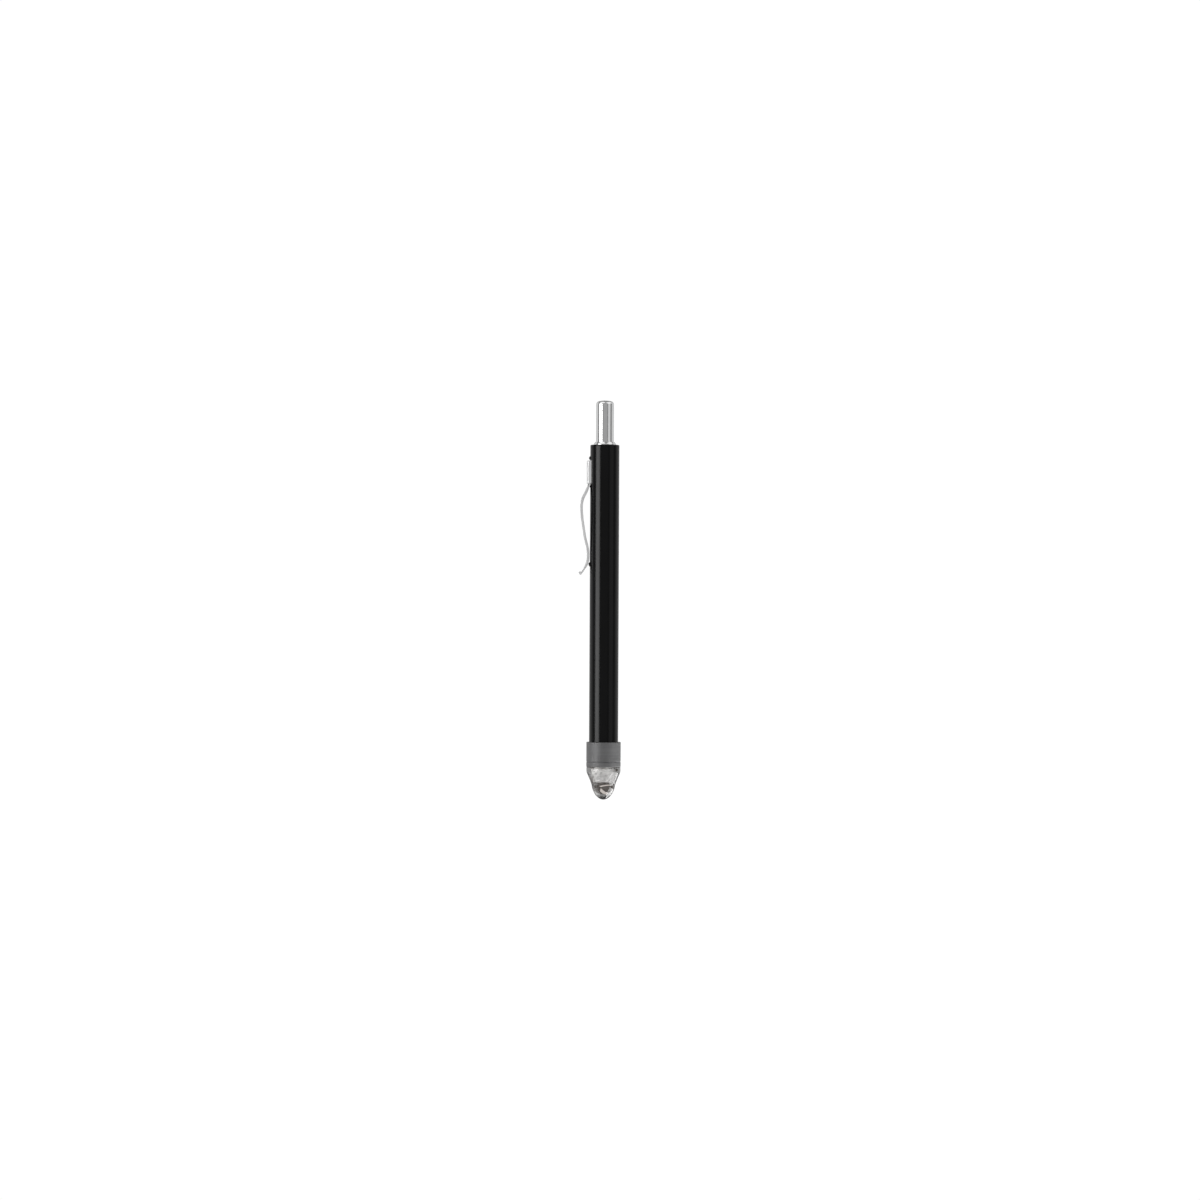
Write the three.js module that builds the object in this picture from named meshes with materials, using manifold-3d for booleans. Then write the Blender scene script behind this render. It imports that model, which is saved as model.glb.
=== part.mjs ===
// Pen-type ophthalmic examination light: a slim aluminium torch with a clear bullet lens at one end
// and a chrome push button at the other, two small cells in line and a spring clip on its side.
// Millimetres, +Z up. The pen's axis is Z, the lens apex is the origin, the button points along +Z
// and the clip lies on the -X side.

import * as THREE from "three";
import { mergeVertices } from "three/addons/utils/BufferGeometryUtils.js";
import Module from "manifold-3d";

const wasm = await Module();
wasm.setup();

// ---------------------------------------------------------------- driving dimensions

const LENGTH = 137.15; // lens apex to button face
const LENS_RIM_TOP = 11.2; // lens rim meets the collar
const COLLAR_TOP = 19.8;
const BARREL_TOP = 121.85;

const BARREL_R = 5.0;
const BARREL_BORE_R = 4.4;
const COLLAR_R = 5.9;
const LENS_RIM_R = 5.87;
const BUTTON_R = 3.05;
const CELL_R = 4.1;
const CELL_LENGTH = 42.45;

const FIT = 0.05; // gap between pieces that seat on each other
const RUNNING = 0.1; // radial gap of sliding and turning fits
const BUTTON_TRAVEL = 3.0;

const THREAD_PITCH = 1.0;
const THREAD_TURNS = 3.6;
const MALE_ROOT_R = 4.72;
const FEMALE_CREST_R = 4.86;
const FEMALE_ROOT_R = 5.2;
const THREAD_START = 15.0;

const ROUND = 36; // facets round the tube and everything coaxial with it
const SMALL = 20; // facets round small pieces and along each turn of the threads

// ---------------------------------------------------------------- materials

function finish(color, roughness, metalness) {
  return new THREE.MeshStandardMaterial({ color, roughness, metalness });
}

const BLACK_LACQUER = finish(0x141416, 0.25, 0.2);
const GUNMETAL = finish(0x77787c, 0.35, 0.9);
const CHROME = finish(0xd8d9dc, 0.08, 1.0);
const NICKEL = finish(0xbdb9b0, 0.2, 1.0);
const BRASS = finish(0xb08d4a, 0.3, 1.0);
const SPRING_STEEL = finish(0xa9abae, 0.3, 1.0);
const CLEAR_PLASTIC = finish(0xe9eceb, 0.05, 0.0);
const LAMP_GLASS = finish(0xe6e0d2, 0.03, 0.0);
const CELL_WRAP = finish(0x2f4a3a, 0.4, 0.1);
const TIN = finish(0xc9c9c6, 0.25, 1.0);
const WHITE_WASHER = finish(0xe8e6df, 0.6, 0.0);
const BLACK_PLASTIC = finish(0x1d1d1f, 0.5, 0.0);
const RUBBER = finish(0x161616, 0.8, 0.0);
const BEAD_GLASS = finish(0x3a5248, 0.1, 0.0);
const TUNGSTEN = finish(0x55565a, 0.4, 1.0);

// ---------------------------------------------------------------- solids

// A closed three.js geometry as a manifold solid, ready to cut and join.
function solid(geometry) {
  geometry.deleteAttribute("normal");
  geometry.deleteAttribute("uv");
  const merged = mergeVertices(geometry, 1e-5);
  return new wasm.Manifold(
    new wasm.Mesh({
      numProp: 3,
      vertProperties: new Float32Array(merged.attributes.position.array),
      triVerts: new Uint32Array(merged.index.array),
    }),
  );
}

function geometryOf(manifold) {
  const mesh = manifold.getMesh();
  const geometry = new THREE.BufferGeometry();
  geometry.setAttribute("position", new THREE.BufferAttribute(mesh.vertProperties, 3));
  geometry.setIndex(new THREE.BufferAttribute(mesh.triVerts, 1));
  geometry.computeVertexNormals();
  return geometry;
}

// Turns an outline of [radius, z] corners about Z. An outline that doesn't start and end on the
// axis is closed on itself.
function turned(outline, segments = ROUND) {
  const points = outline.map(([r, z]) => new THREE.Vector2(r, z));
  if (THREE.ShapeUtils.area(points) < 0) {
    points.reverse();
  }
  const onAxis = points.findIndex((point, i) => point.x === 0 && points.at(i - 1).x === 0);
  if (onAxis < 0) {
    points.push(points[0].clone());
  } else {
    points.push(...points.splice(0, onAxis));
  }
  const lathe = new THREE.LatheGeometry(points, segments);
  lathe.rotateX(Math.PI / 2);
  return solid(lathe);
}

function disc(radius, z0, z1, segments = SMALL) {
  return turned([[0, z0], [radius, z0], [radius, z1], [0, z1]], segments);
}

function ring(inner, outer, z0, z1, segments = ROUND) {
  return turned([[inner, z0], [outer, z0], [outer, z1], [inner, z1]], segments);
}

function block(x0, x1, y0, y1, z0, z1) {
  const box = new THREE.BoxGeometry(x1 - x0, y1 - y0, z1 - z0);
  box.translate((x0 + x1) / 2, (y0 + y1) / 2, (z0 + z1) / 2);
  return solid(box);
}

// A pin of two radii along X: a shank and a flush head at its outer, -X, end.
function sidePin(shankR, headR, xInner, xShoulder, xOuter, z) {
  const pin = turned([[0, xInner], [shankR, xInner], [shankR, xShoulder], [headR, xShoulder],
    [headR, xOuter], [0, xOuter]], SMALL);
  return pin.rotate([0, -90, 0]).translate([0, 0, z]);
}

// Corner points of a quarter-round from one direction to another, in degrees.
function arc(centreR, centreZ, radius, fromDeg, toDeg, steps = 4) {
  return Array.from({ length: steps + 1 }, (_, i) => {
    const angle = THREE.MathUtils.degToRad(fromDeg + ((toDeg - fromDeg) * i) / steps);
    return [centreR + radius * Math.cos(angle), centreZ + radius * Math.sin(angle)];
  });
}

// Sweeps a section, drawn as (radial, axial) offsets, along a right-handed helix that climbs from
// z0 by pitch each turn. radiusAt gives the helix radius for a fraction of its length.
function swept(section, turns, stepsPerTurn, pitch, z0, radiusAt) {
  const steps = Math.round(turns * stepsPerTurn);
  const straight = new THREE.ExtrudeGeometry(section, {
    depth: turns,
    steps,
    bevelEnabled: false,
  });
  const position = straight.attributes.position;
  for (let i = 0; i < position.count; i += 1) {
    const turn = turns - position.getZ(i);
    const radius = radiusAt(turn / turns) + position.getX(i);
    const angle = 2 * Math.PI * turn;
    const z = z0 + pitch * turn + position.getY(i);
    position.setXYZ(i, radius * Math.cos(angle), radius * Math.sin(angle), z);
  }
  return solid(straight);
}

// A round-wire compression spring between two heights, with flat-lying end turns.
function spring(wireR, startR, endR, z0, z1, turns, stepsPerTurn = 12) {
  const section = new THREE.Shape();
  section.absarc(0, 0, wireR, 0, 2 * Math.PI);
  const coarse = new THREE.Shape(section.getPoints(2).slice(0, -1));
  const rise = (z1 - z0 - 2 * wireR) / turns;
  return swept(coarse, turns, stepsPerTurn, rise, z0 + wireR, (t) => startR + (endR - startR) * t);
}

// A thread ridge of trapezoid section, whose base is buried below the root surface. side is +1 for
// an outside thread and -1 for an inside one.
function threadRidge(rootR, crestR, side, z0, turns) {
  const base = -side * 0.12;
  const crest = crestR - rootR;
  const baseHalf = 0.33;
  const crestHalf = 0.12;
  const section = new THREE.Shape([
    new THREE.Vector2(base, -baseHalf),
    new THREE.Vector2(crest, -crestHalf),
    new THREE.Vector2(crest, crestHalf),
    new THREE.Vector2(base, baseHalf),
  ]);
  return swept(section, turns, SMALL, THREAD_PITCH, z0, () => rootR);
}

// ---------------------------------------------------------------- scene graph

const pen = new THREE.Group();

function add(parent, name, manifold, material) {
  const mesh = new THREE.Mesh(geometryOf(manifold), material);
  mesh.name = name;
  parent.add(mesh);
}

// ---------------------------------------------------------------- barrel and its lugs

const LUG_WIDTH = 2.6;
const SADDLE_BOTTOM = 108.5;
const SADDLE_TOP = 117.1;
const RIVET_HEIGHTS = [111.0, 114.4];
const RIVET_SHANK_R = 0.45;

// A low rounded lug raised on the clip side of the tube.
function lug(z, topR, halfLength) {
  const buried = BARREL_R - 0.35;
  const outline = new THREE.Shape();
  outline.absellipse(0, 0, topR - buried, halfLength, 0, Math.PI);
  const bump = new THREE.ExtrudeGeometry(new THREE.Shape(outline.getPoints(6)), {
    depth: LUG_WIDTH,
    bevelEnabled: false,
  });
  // The outline's rise goes to -X, its run to Z and its depth to Y.
  bump.rotateX(Math.PI / 2);
  bump.rotateY(-Math.PI / 2);
  bump.translate(-buried, LUG_WIDTH / 2, z);
  return solid(bump);
}

function buildBarrel() {
  const group = new THREE.Group();
  const bottom = LENS_RIM_TOP + 3.35;
  const threadTop = 18.95;
  const lipBottom = BARREL_TOP - 0.8;
  const lipR = 3.9;
  const cornerR = 0.35;
  let tube = turned([
    [BARREL_BORE_R, bottom],
    [MALE_ROOT_R - 0.12, bottom],
    [MALE_ROOT_R, bottom + 0.15],
    [MALE_ROOT_R, threadTop + 0.75],
    [BARREL_R, threadTop + 0.85],
    ...arc(BARREL_R - cornerR, BARREL_TOP - cornerR, cornerR, 0, 90, 3),
    [lipR, BARREL_TOP],
    [lipR, lipBottom],
    [BARREL_BORE_R, lipBottom],
  ]);
  tube = tube.add(threadRidge(MALE_ROOT_R, BARREL_R, 1, THREAD_START, THREAD_TURNS));
  tube = tube.add(lug(117.3, 5.45, 0.75));
  tube = tube.add(lug(107.55, 5.2, 0.6));
  tube = tube.add(lug(80.8, 5.45, 0.9));
  for (const z of RIVET_HEIGHTS) {
    tube = tube.subtract(sidePin(RIVET_SHANK_R + FIT, RIVET_SHANK_R + FIT, 4.0, 5.0, 6.0, z));
  }
  add(group, "barrel", tube, BLACK_LACQUER);

  const sealZ = threadTop + 0.42;
  const seal = turned(arc(MALE_ROOT_R + FIT + 0.18, sealZ, 0.18, 0, 300, 5));
  add(group, "o_ring", seal, RUBBER);
  return group;
}

// ---------------------------------------------------------------- clip

const CLIP_THICKNESS = 0.9;
const CLIP_ROOT_THICKNESS = 0.6;
const CLIP_HALF_WIDTH = 2.0;
const CLIP_ROOT_X = -5.5;
const TAB_HALF_WIDTH = 1.2;
const CURL_R = 0.6;

function buildClip() {
  const group = new THREE.Group();

  // The saddle is a band of the tube's curve with a bevelled top, notched underneath for the
  // strip's root and held by two flush rivets.
  const saddleR = 6.2;
  const saddleHalfWidth = 2.1;
  const notchTop = SADDLE_BOTTOM + 1.4;
  let saddle = turned([
    [BARREL_R + FIT, SADDLE_BOTTOM],
    [saddleR - 0.25, SADDLE_BOTTOM],
    [saddleR, SADDLE_BOTTOM + 0.25],
    [saddleR, SADDLE_TOP - 1.4],
    [BARREL_R + 0.55, SADDLE_TOP],
    [BARREL_R + FIT, SADDLE_TOP],
  ]);
  saddle = saddle.intersect(
    block(-7, -3, -saddleHalfWidth, saddleHalfWidth, SADDLE_BOTTOM - 1, SADDLE_TOP - 0.65),
  );
  saddle = saddle.subtract(
    block(CLIP_ROOT_X - 0.48, -4, -TAB_HALF_WIDTH - 0.2, TAB_HALF_WIDTH + 0.2,
      SADDLE_BOTTOM - 1, notchTop),
  );
  RIVET_HEIGHTS.forEach((z, i) => {
    const hole = sidePin(RIVET_SHANK_R + FIT, 0.8 + FIT, 4.0, 5.6, 7.0, z);
    saddle = saddle.subtract(hole);
    const rivet = sidePin(RIVET_SHANK_R, 0.8, BARREL_BORE_R + 0.1, 5.65, saddleR - 0.05, z);
    add(group, i === 0 ? "saddle_rivet_lower" : "saddle_rivet_upper", rivet, SPRING_STEEL);
  });
  add(group, "clip_saddle", saddle, CHROME);

  // The strip bows away from the tube, comes back to it near the lower end and flares out to a
  // curled tip. Points are (x, z) on its middle line.
  const route = new THREE.SplineCurve([
    new THREE.Vector2(CLIP_ROOT_X, 109.6),
    new THREE.Vector2(CLIP_ROOT_X, 108.3),
    new THREE.Vector2(-6.2, 106.1),
    new THREE.Vector2(-7.5, 103.4),
    new THREE.Vector2(-7.95, 100.5),
    new THREE.Vector2(-7.7, 96.7),
    new THREE.Vector2(-7.2, 93.2),
    new THREE.Vector2(-6.65, 89.8),
    new THREE.Vector2(-6.05, 87.4),
    new THREE.Vector2(-5.67, 85.4),
    new THREE.Vector2(-5.62, 83.6),
    new THREE.Vector2(-5.74, 82.2),
    new THREE.Vector2(-6.1, 80.8),
    new THREE.Vector2(-6.9, 79.3),
    new THREE.Vector2(-8.2, 77.9),
  ]);
  const sides = { left: [], right: [] };
  const steps = 44;
  for (let i = 0; i <= steps; i += 1) {
    const centre = route.getPoint(i / steps);
    const along = route.getTangent(i / steps);
    const fullness = THREE.MathUtils.smoothstep(SADDLE_BOTTOM - centre.y, 0.2, 2.2);
    const thickness = THREE.MathUtils.lerp(CLIP_ROOT_THICKNESS, CLIP_THICKNESS, fullness);
    const half = new THREE.Vector2(-along.y, along.x).multiplyScalar(thickness / 2);
    sides.left.push(centre.clone().add(half));
    sides.right.push(centre.clone().sub(half));
  }
  const outline = new THREE.Shape([...sides.left, ...sides.right.reverse()]);
  const strip = new THREE.ExtrudeGeometry(outline, {
    depth: 2 * CLIP_HALF_WIDTH,
    bevelEnabled: false,
  });
  strip.rotateX(Math.PI / 2);
  strip.translate(0, CLIP_HALF_WIDTH, 0);
  const curl = new THREE.CylinderGeometry(CURL_R, CURL_R, 2 * CLIP_HALF_WIDTH, 16);
  curl.translate(-8.3, 0, 77.85);
  let clip = solid(strip).add(solid(curl));
  for (const side of [-1, 1]) {
    const inner = side * TAB_HALF_WIDTH;
    const outer = side * (CLIP_HALF_WIDTH + 1);
    const trim = [Math.min(inner, outer), Math.max(inner, outer)];
    clip = clip.subtract(block(-7, -4, ...trim, SADDLE_BOTTOM - 0.35, 111));
  }
  add(group, "pocket_clip", clip, SPRING_STEEL);
  return group;
}

// ---------------------------------------------------------------- push button and switch

const BUSHING_BOTTOM = 117.1;
const HOUSING_TOP = 112.9;
const CAP_WALL = 0.5;

function buildButton() {
  const group = new THREE.Group();
  const barrelLip = BARREL_TOP - 0.8;
  const bushing = turned([
    [BUTTON_R + RUNNING, BUSHING_BOTTOM],
    [BARREL_BORE_R - FIT, BUSHING_BOTTOM],
    [BARREL_BORE_R - FIT, barrelLip - FIT],
    [3.82, barrelLip - FIT],
    [3.82, BARREL_TOP + 0.3],
    [BUTTON_R + RUNNING + 0.2, BARREL_TOP + 1.0],
    [BUTTON_R + RUNNING, BARREL_TOP + 1.0],
  ]);
  add(group, "tail_bushing", bushing, CHROME);

  // A drawn cap, open below, with a foot flange that stops under the bushing and a rounded crown
  // with a small flat at its top.
  const flangeTop = BUSHING_BOTTOM - 0.1;
  const boreR = BUTTON_R - CAP_WALL;
  const cap = turned([
    [boreR, flangeTop - 0.7],
    [3.9, flangeTop - 0.7],
    [3.9, flangeTop],
    [BUTTON_R, flangeTop],
    ...arc(BUTTON_R - 1.1, LENGTH - 1.35, 1.1, 0, 68, 4),
    [0.6, LENGTH],
    [0, LENGTH],
    [0, LENGTH - 0.8],
    [1.3, LENGTH - 0.95],
    [boreR, LENGTH - 1.7],
  ]);
  add(group, "push_button", cap, CHROME);

  // The contact rod hangs from a head that the spring holds against the cap's crown.
  const headTop = LENGTH - 1.8;
  const rod = turned([
    [0, HOUSING_TOP - 1.7],
    [0.4, HOUSING_TOP - 1.7],
    [0.8, HOUSING_TOP - 1.3],
    [0.8, headTop - 0.7],
    [boreR - FIT, headTop - 0.7],
    [boreR - FIT, headTop],
    [0, headTop],
  ], SMALL);
  add(group, "contact_rod", rod, BRASS);

  const springR = 2.05;
  const buttonSpring = spring(0.2, springR, springR, HOUSING_TOP + 0.03, headTop - 0.73, 11);
  add(group, "button_spring", buttonSpring, SPRING_STEEL);
  return group;
}

const PLATE_TOP = 107.4;
const PLATE_BOTTOM = 107.0;

function buildSwitch() {
  const group = new THREE.Group();
  const pocketTop = PLATE_TOP + FIT;
  const housing = turned([
    [3.85, PLATE_BOTTOM - 0.8],
    [BARREL_BORE_R - FIT, PLATE_BOTTOM - 0.8],
    [BARREL_BORE_R - FIT, HOUSING_TOP - 0.3],
    [BARREL_BORE_R - FIT - 0.3, HOUSING_TOP],
    [1.15, HOUSING_TOP],
    [1.15, pocketTop],
    [3.85, pocketTop],
  ]);
  add(group, "switch_housing", housing, BLACK_PLASTIC);

  const studTop = HOUSING_TOP - 1.7 - BUTTON_TRAVEL - 0.1;
  const plate = turned([
    [0, PLATE_BOTTOM],
    [3.75, PLATE_BOTTOM],
    [3.75, PLATE_TOP],
    [0.95, PLATE_TOP],
    [0.95, studTop - 0.15],
    [0.6, studTop],
    [0, studTop],
  ]);
  add(group, "contact_plate", plate, BRASS);
  return group;
}

// ---------------------------------------------------------------- cells and their spring

const FRONT_CELL_Z = 16.05;
const CELL_GAP = 0.05;

// One cell standing on its positive terminal: wrapped can, insulating washer and terminal cap.
function buildCell(name, z0) {
  const group = new THREE.Group();
  const shoulder = 1.15;
  const canTop = CELL_LENGTH;
  const can = turned([
    [0, shoulder + 0.4],
    [3.5, shoulder + 0.4],
    [3.5, shoulder],
    [CELL_R - 0.25, shoulder],
    [CELL_R, shoulder + 0.25],
    [CELL_R, canTop - 0.2],
    [CELL_R - 0.2, canTop],
    [0, canTop],
  ]);
  const washer = ring(1.85, 3.4, shoulder + 0.05, shoulder + 0.35);
  const cap = turned([
    [0, 0],
    [1.3, 0],
    [1.5, 0.2],
    [1.5, shoulder + 0.1],
    [1.75, shoulder + 0.1],
    [1.75, shoulder + 0.35],
    [0, shoulder + 0.35],
  ], SMALL);
  const lift = [0, 0, z0];
  add(group, `${name}_can`, can.translate(lift), CELL_WRAP);
  add(group, `${name}_washer`, washer.translate(lift), WHITE_WASHER);
  add(group, `${name}_terminal`, cap.translate(lift), TIN);
  return group;
}

function buildCells() {
  const group = new THREE.Group();
  const rearCellZ = FRONT_CELL_Z + CELL_LENGTH + CELL_GAP;
  group.add(buildCell("front_cell", FRONT_CELL_Z));
  group.add(buildCell("rear_cell", rearCellZ));
  const cellsTop = rearCellZ + CELL_LENGTH;
  const tail = spring(0.22, 3.0, 2.5, cellsTop + 0.03, PLATE_BOTTOM - 0.03, 4.5);
  add(group, "tail_spring", tail, SPRING_STEEL);
  return group;
}

// ---------------------------------------------------------------- head

const SPIGOT_TOP = 14.0;
const SPIGOT_R = 5.0;
const SNAP_R = 5.22;
const LENS_BORE_R = 4.3;
const CONE_END = 6.1; // inner foot of the lens cone
const CONE_END_R = 3.6;

function buildCollar() {
  const collarBottom = LENS_RIM_TOP + FIT;
  const grooveZ = 13.0;
  const edge = 0.2;
  let collar = turned([
    [SPIGOT_R + FIT, collarBottom],
    [COLLAR_R - edge, collarBottom],
    [COLLAR_R, collarBottom + edge],
    [COLLAR_R, grooveZ - 0.15],
    [COLLAR_R - 0.12, grooveZ],
    [COLLAR_R, grooveZ + 0.15],
    [COLLAR_R, COLLAR_TOP - edge],
    [COLLAR_R - edge, COLLAR_TOP],
    [FEMALE_ROOT_R, COLLAR_TOP],
    [FEMALE_ROOT_R, SPIGOT_TOP + 0.05],
    [SPIGOT_R + FIT, SPIGOT_TOP - 0.1],
    [SPIGOT_R + FIT, 13.75],
    [SNAP_R + 0.1, 13.6],
    [SNAP_R + 0.1, 12.9],
    [SPIGOT_R + FIT, 12.75],
  ]);
  const halfTurnUp = THREAD_START + THREAD_PITCH / 2;
  const turns = THREAD_TURNS - 0.45;
  collar = collar.add(threadRidge(FEMALE_ROOT_R, FEMALE_CREST_R, -1, halfTurnUp, turns));
  add(pen, "head_collar", collar, GUNMETAL);
}

function buildLens() {
  const lens = turned([
    [0, 0],
    [0.5, 0],
    [1.55, 0.55],
    [2.35, 1.25],
    [2.95, 1.95],
    [3.42, 2.7],
    [4.0, 4.8],
    [4.4, 6.15],
    [5.4, 8.4],
    [LENS_RIM_R, 9.9],
    [LENS_RIM_R, LENS_RIM_TOP],
    [SPIGOT_R, LENS_RIM_TOP],
    [SPIGOT_R, 12.95],
    [SNAP_R, 13.1],
    [SNAP_R, 13.4],
    [SPIGOT_R, 13.55],
    [SPIGOT_R, SPIGOT_TOP],
    [LENS_BORE_R, SPIGOT_TOP],
    [LENS_BORE_R, 8.7],
    [CONE_END_R, CONE_END],
    [CONE_END_R - 0.15, CONE_END - 0.25],
    [2.2, CONE_END - 0.16],
    [1.1, CONE_END - 0.08],
    [0, CONE_END - 0.05],
  ]);
  add(pen, "nose_lens", lens, CLEAR_PLASTIC);
}

const REFLECTOR_TOP = 10.95;

function buildReflector() {
  const wallGap = 0.12;
  const mouthZ = CONE_END + 0.1;
  // The bowl is a parabola through the lamp hole and the mouth.
  const holeR = 1.75;
  const mouthR = 3.0;
  const bowlTop = REFLECTOR_TOP - 0.35;
  const depth = bowlTop - mouthZ;
  const steps = 4;
  const bowl = Array.from({ length: steps + 1 }, (_, i) => {
    const r = mouthR + ((holeR - mouthR) * i) / steps;
    const rise = (mouthR ** 2 - r ** 2) / (mouthR ** 2 - holeR ** 2);
    return [r, mouthZ + depth * rise];
  });
  const reflector = turned([
    [CONE_END_R - wallGap, mouthZ],
    [LENS_BORE_R - wallGap, 8.75],
    [LENS_BORE_R - wallGap, REFLECTOR_TOP],
    [holeR, REFLECTOR_TOP],
    ...bowl.reverse(),
  ]);
  add(pen, "reflector", reflector, NICKEL);
}

function buildHolder() {
  const holder = turned([
    [2.05, 11.45],
    [LENS_BORE_R - FIT, 11.45],
    [LENS_BORE_R - FIT, SPIGOT_TOP + FIT],
    [SPIGOT_R - FIT, SPIGOT_TOP + FIT],
    [SPIGOT_R - FIT, 14.5],
    [2.05, 14.5],
  ]);
  add(pen, "lamp_holder", holder, BRASS);
}

// A flange-mounted lens-end lamp: glass envelope, metal base with flange, insulating disc, end
// contact, glass bead, two support wires and a filament.
function buildLamp() {
  const group = new THREE.Group();
  const tipR = 1.5;
  const tipZ = 6.4;
  const wall = 0.22;
  const glassTop = 12.6;
  const envelope = turned([
    [0, tipZ],
    ...arc(0, tipZ + tipR, tipR, -70, 0, 4),
    [tipR, 10.2],
    [1.35, 10.8],
    [1.35, glassTop],
    [1.35 - wall, glassTop],
    [1.35 - wall, 10.8],
    [tipR - wall, 10.2],
    [tipR - wall, 7.9],
    [0.8, 7.4],
    [0, 7.25],
  ], SMALL);
  add(group, "lamp_glass", envelope, LAMP_GLASS);

  const shellR = 1.9;
  const base = turned([
    [shellR - 0.3, 11.0],
    [2.6, 11.0],
    [2.6, 11.4],
    [shellR, 11.4],
    [shellR, 14.4],
    [shellR - 0.25, 14.4],
    [shellR - 0.25, 11.6],
  ], SMALL);
  add(group, "lamp_base", base, NICKEL);

  add(group, "lamp_insulator", disc(shellR - FIT, 14.45, 15.05), BLACK_PLASTIC);
  const contact = turned([
    [0, 15.1],
    [1.0, 15.1],
    [0.95, 15.5],
    [0.6, 15.85],
    [0, 15.98],
  ], SMALL);
  add(group, "lamp_contact", contact, TIN);

  const beadZ = [9.0, 10.3];
  const wireR = 0.13;
  const wireX = 0.5;
  const wireBottom = 7.95;
  let bead = disc(0.9, ...beadZ, 16);
  [["lamp_lead_left", -wireX], ["lamp_lead_right", wireX]].forEach(([name, x]) => {
    const wire = disc(wireR, wireBottom, 13.8, 8).translate([x, 0, 0]);
    bead = bead.subtract(disc(wireR + 0.02, beadZ[0] - 1, beadZ[1] + 1, 8).translate([x, 0, 0]));
    add(group, name, wire, NICKEL);
  });
  add(group, "lamp_bead", bead, BEAD_GLASS);

  const filament = spring(0.04, 0.12, 0.12, -0.34, 0.34, 5, 6);
  add(group, "lamp_filament", filament.rotate([0, 90, 0]).translate([0, 0, 8.1]), TUNGSTEN);
  return group;
}

pen.add(buildBarrel());
pen.add(buildClip());
pen.add(buildButton());
pen.add(buildSwitch());
pen.add(buildCells());
buildCollar();
buildLens();
buildReflector();
buildHolder();
pen.add(buildLamp());

export default pen;
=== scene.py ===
"""Looks of a pen-type ophthalmic examination light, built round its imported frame.

Outlines are in millimetres as (radius, height) pairs on the pen's axis, which is Z. The lens apex
is at the origin, the push button at the top and the pocket clip on the -X side.
"""
import math

import bmesh
import bpy
from mathutils import Matrix, Vector


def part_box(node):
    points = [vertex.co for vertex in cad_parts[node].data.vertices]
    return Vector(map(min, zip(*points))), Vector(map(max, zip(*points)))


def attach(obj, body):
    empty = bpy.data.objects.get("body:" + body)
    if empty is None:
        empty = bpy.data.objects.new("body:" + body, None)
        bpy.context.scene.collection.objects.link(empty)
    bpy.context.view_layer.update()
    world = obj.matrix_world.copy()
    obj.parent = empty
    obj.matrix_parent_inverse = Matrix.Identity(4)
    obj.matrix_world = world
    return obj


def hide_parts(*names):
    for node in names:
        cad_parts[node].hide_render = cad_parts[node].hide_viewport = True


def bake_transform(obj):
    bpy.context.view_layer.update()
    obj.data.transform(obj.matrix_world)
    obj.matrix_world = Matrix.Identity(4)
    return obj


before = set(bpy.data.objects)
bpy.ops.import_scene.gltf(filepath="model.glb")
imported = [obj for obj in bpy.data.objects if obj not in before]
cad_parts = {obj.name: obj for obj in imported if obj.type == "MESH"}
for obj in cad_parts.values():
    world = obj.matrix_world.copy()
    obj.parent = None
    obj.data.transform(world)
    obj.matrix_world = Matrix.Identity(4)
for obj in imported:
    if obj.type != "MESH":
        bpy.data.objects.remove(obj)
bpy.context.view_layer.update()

MM = 0.001
FINE = 144  # segments round the large turned pieces
MEDIUM = 72  # segments round the small ones


def levels(node):
    """Lowest and highest Z of a CAD node, in mm."""
    low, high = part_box(node)
    return low.z / MM, high.z / MM


def outer_radius(node):
    """Largest distance of a turned CAD node from the pen's axis, in mm."""
    low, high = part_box(node)
    return max(high.x, high.y) / MM


LENS_LOW, LENS_HIGH = levels("nose_lens")
COLLAR_LOW, COLLAR_HIGH = levels("head_collar")
TUBE_LOW, TUBE_HIGH = levels("barrel")
BUTTON_LOW, BUTTON_HIGH = levels("push_button")
SADDLE_LOW, SADDLE_HIGH = levels("clip_saddle")
CLIP_HIGH = levels("pocket_clip")[1]

TUBE_R = 5.0
TUBE_BORE_R = 4.4
COLLAR_R = outer_radius("head_collar")
LENS_R = outer_radius("nose_lens")
BUTTON_R = 3.05
BODY_CENTRE = Vector((0, 0, (LENS_LOW + BUTTON_HIGH) / 2)) * MM

# ------------------------------------------------------------------------ mesh building


SHARP_ANGLE = math.radians(38)  # edges that turn by more than this stay sharp


def new_object(name, verts, faces):
    """A smooth-shaded object with these points, in mm, and these faces, turned outwards."""
    mesh = bpy.data.meshes.new(name)
    mesh.from_pydata([(x * MM, y * MM, z * MM) for x, y, z in verts], [], faces)
    work = bmesh.new()
    work.from_mesh(mesh)
    bmesh.ops.recalc_face_normals(work, faces=work.faces)
    work.to_mesh(mesh)
    work.free()
    mesh.polygons.foreach_set("use_smooth", [True] * len(mesh.polygons))
    mesh.set_sharp_from_angle(angle=SHARP_ANGLE)
    piece = bpy.data.objects.new(name, mesh)
    bpy.context.scene.collection.objects.link(piece)
    weighted = piece.modifiers.new("weighted_normals", "WEIGHTED_NORMAL")
    weighted.keep_sharp = True
    return piece


def arc(centre_r, centre_z, radius, start, end, steps=6):
    """Points on an arc between two directions in degrees, both ends included."""
    points = []
    for i in range(steps + 1):
        angle = math.radians(start + (end - start) * i / steps)
        points.append((centre_r + radius * math.cos(angle), centre_z + radius * math.sin(angle)))
    return points


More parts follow.
